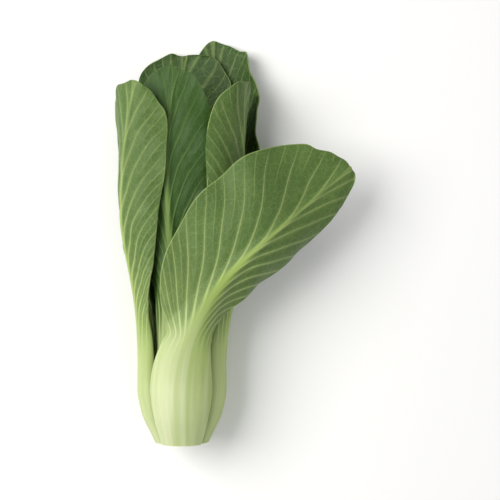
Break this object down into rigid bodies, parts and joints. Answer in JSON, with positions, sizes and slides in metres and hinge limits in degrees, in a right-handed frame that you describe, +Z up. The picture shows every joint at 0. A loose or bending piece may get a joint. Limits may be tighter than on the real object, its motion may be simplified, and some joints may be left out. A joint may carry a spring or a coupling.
{
  "type": "bok choy",
  "caption": "Head of bok choy lying on its side: overlapping green leaves on thick pale stalks that close round a short cut stem, with the front leaf leaning out to the right.",
  "frame": {"origin": "centre of the small flat spot on the underside of the swollen base, where the lower right outer stalk rests on the table", "axes": "+Y along the head from the cut stem to the leaf tips, +Z up from the table, +X to the side that the front leaf leans to"},
  "size_m": [0.1498, 0.2564, 0.0666],
  "materials": {
    "stalk": "smooth pale green skin, slightly waxy",
    "inner_stalk": "smooth pale green skin, slightly waxy",
    "blade": "smooth dark green leaf, soft sheen",
    "inner_blade": "smooth young green leaf, soft sheen",
    "cut_stem": "moist off-white cut face"
  },
  "bodies": {
    "root": {"stem": "cut_stem", "top_leaf_blade": "blade", "top_leaf_stalk": "stalk", "left_leaf_blade": "blade", "left_leaf_stalk": "stalk", "right_leaf_blade": "blade", "right_leaf_stalk": "stalk", "lower_left_leaf_blade": "blade", "lower_left_leaf_stalk": "stalk", "lower_right_leaf_blade": "blade", "lower_right_leaf_stalk": "stalk", "middle_leaf_1_blade": "blade", "middle_leaf_1_stalk": "stalk", "middle_leaf_2_blade": "blade", "middle_leaf_2_stalk": "stalk", "middle_leaf_3_blade": "blade", "middle_leaf_3_stalk": "stalk", "inner_leaf_1_blade": "inner_blade", "inner_leaf_1_stalk": "inner_stalk", "inner_leaf_2_blade": "inner_blade", "inner_leaf_2_stalk": "inner_stalk", "inner_leaf_3_blade": "inner_blade", "inner_leaf_3_stalk": "inner_stalk", "heart_leaf_1_blade": "inner_blade", "heart_leaf_1_stalk": "inner_stalk", "heart_leaf_2_blade": "inner_blade", "heart_leaf_2_stalk": "inner_stalk"}
  },
  "joints": []
}
